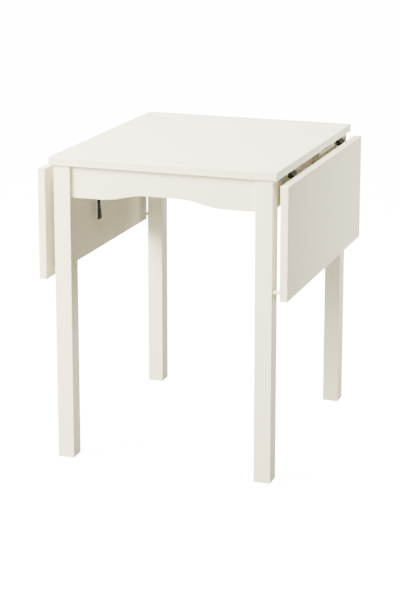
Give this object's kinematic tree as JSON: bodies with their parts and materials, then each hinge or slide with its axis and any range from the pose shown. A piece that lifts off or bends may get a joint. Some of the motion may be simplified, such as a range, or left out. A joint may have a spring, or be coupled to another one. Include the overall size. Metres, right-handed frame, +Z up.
{
  "type": "drop-leaf table",
  "caption": "Small white table on four square legs with an arched apron, a hanging drop leaf on each long side and swing-out arms that hold the leaves up.",
  "frame": {"origin": "on the floor under the middle of the top", "axes": "+Z up, +X to the right-hand leaf, +Y to the back, along the leaves"},
  "size_m": [0.612, 0.656, 0.74],
  "materials": {
    "white_board": "satin foil-faced board",
    "white_frame": "white satin lacquer",
    "glide_plastic": "matt",
    "white_rubber": "matt",
    "beech": "raw",
    "black_steel": "satin black",
    "white_steel": "satin white",
    "black_plastic": "fine moulded texture",
    "zinc_steel": "zinc plated"
  },
  "bodies": {
    "frame": {"table_top": "white_board", "leg_front_right": "white_frame", "leg_front_left": "white_frame", "leg_back_right": "white_frame", "leg_back_left": "white_frame", "glide_front_right": "glide_plastic", "glide_front_left": "glide_plastic", "glide_back_right": "glide_plastic", "glide_back_left": "glide_plastic", "apron_front": "white_frame", "apron_back": "white_frame", "side_rail_right": "white_frame", "side_rail_left": "white_frame", "corner_brace_front_right": "zinc_steel", "corner_brace_front_left": "zinc_steel", "corner_brace_back_right": "zinc_steel", "corner_brace_back_left": "zinc_steel", "leg_bolts": "zinc_steel", "leg_washers": "zinc_steel", "leg_nuts": "zinc_steel", "brace_screws": "zinc_steel", "dowels": "beech", "top_bracket_front_right": "zinc_steel", "top_bracket_front_left": "zinc_steel", "top_bracket_back_right": "zinc_steel", "top_bracket_back_left": "zinc_steel", "top_bracket_side_right": "zinc_steel", "top_bracket_side_left": "zinc_steel", "bracket_screws": "zinc_steel", "hinge_plate_front_right": "black_steel", "hinge_plate_front_left": "black_steel", "hinge_plate_back_right": "black_steel", "hinge_plate_back_left": "black_steel", "hinge_pins": "zinc_steel", "hinge_screws": "zinc_steel", "arm_holder_right": "white_steel", "arm_holder_left": "white_steel", "holder_screws": "zinc_steel"},
    "leaf_right": {"leaf_right": "white_board", "hinge_flap_front_right": "black_steel", "hinge_flap_back_right": "black_steel", "flap_screws_right": "zinc_steel", "bumper_front_right": "white_rubber", "bumper_back_right": "white_rubber"},
    "leaf_left": {"leaf_left": "white_board", "hinge_flap_front_left": "black_steel", "hinge_flap_back_left": "black_steel", "flap_screws_left": "zinc_steel", "bumper_front_left": "white_rubber", "bumper_back_left": "white_rubber"},
    "arm_right": {"support_arm_right": "white_steel", "arm_shaft_right": "zinc_steel", "arm_pad_right": "white_rubber", "arm_pins_right": "zinc_steel", "arm_handle_right": "black_plastic"},
    "arm_left": {"support_arm_left": "white_steel", "arm_shaft_left": "zinc_steel", "arm_pad_left": "white_rubber", "arm_pins_left": "zinc_steel", "arm_handle_left": "black_plastic"}
  },
  "joints": [
    {"name": "leaf_right_hinge", "type": "hinge", "parent": "frame", "child": "leaf_right", "pos_m": [0.27775, 0, 0.71175], "axis": [0, -1, 0], "range_deg": [0, 90]},
    {"name": "leaf_left_hinge", "type": "hinge", "parent": "frame", "child": "leaf_left", "pos_m": [-0.27775, 0, 0.71175], "axis": [0, 1, 0], "range_deg": [0, 90]},
    {"name": "arm_right_pivot", "type": "hinge", "parent": "frame", "child": "arm_right", "pos_m": [0.2715, 0.045, 0.7], "axis": [0, 0, -1], "range_deg": [0, 90]},
    {"name": "arm_left_pivot", "type": "hinge", "parent": "frame", "child": "arm_left", "pos_m": [-0.2715, -0.045, 0.7], "axis": [0, 0, -1], "range_deg": [0, 90]}
  ]
}
